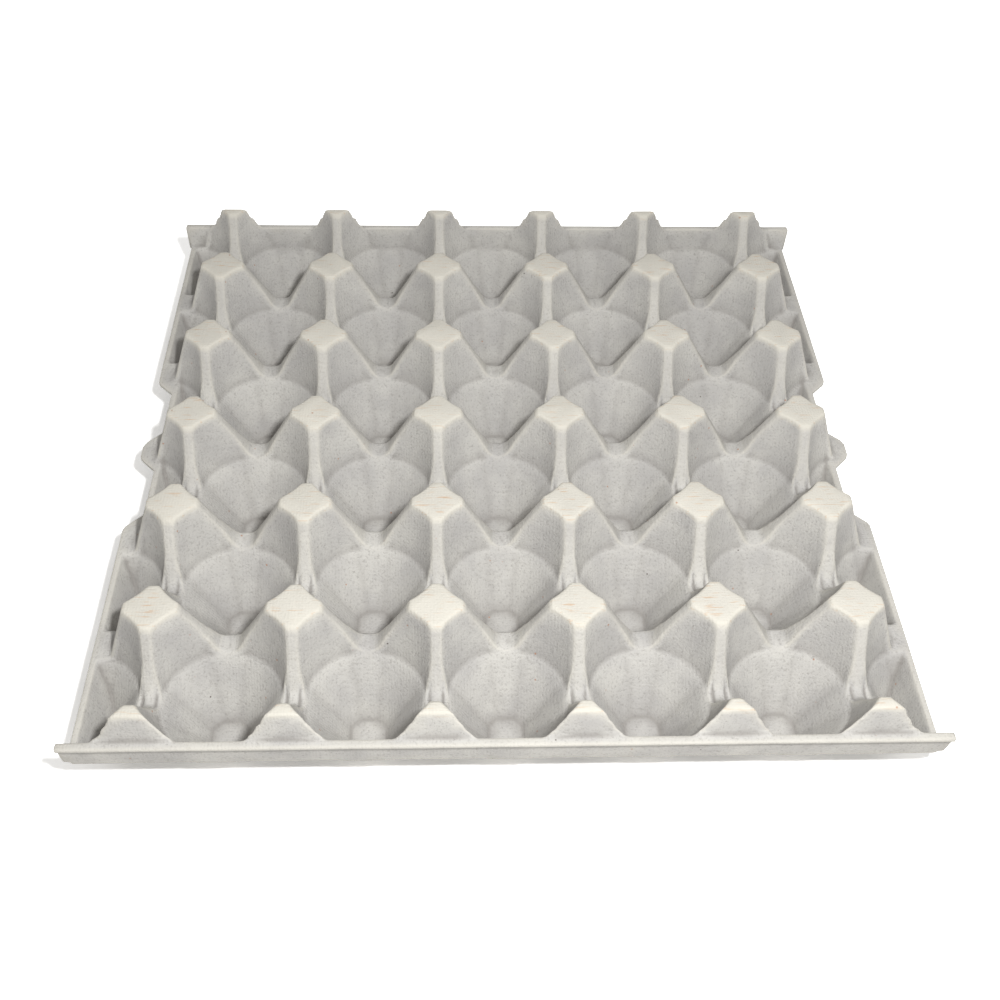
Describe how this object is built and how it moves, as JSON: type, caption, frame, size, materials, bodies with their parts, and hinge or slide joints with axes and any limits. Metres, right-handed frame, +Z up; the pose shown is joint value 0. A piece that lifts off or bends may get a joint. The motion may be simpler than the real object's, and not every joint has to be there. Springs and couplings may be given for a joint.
{
  "type": "pulp egg tray",
  "caption": "Square moulded-pulp egg tray with rows of tapered cells between diamond-topped posts, rims and finger notches.",
  "frame": {"origin": "middle of the tray on the plane that its cell floors stand on", "axes": "+Z up, the way the cells open; Y along the rows of six cells, towards one lipped edge; X along the rows of five"},
  "size_m": [0.295, 0.294, 0.046],
  "materials": {
    "pulp": "matt moulded paper pulp, warm grey, undyed and uncoated"
  },
  "bodies": {
    "root": {"egg_tray": "pulp"}
  },
  "joints": []
}
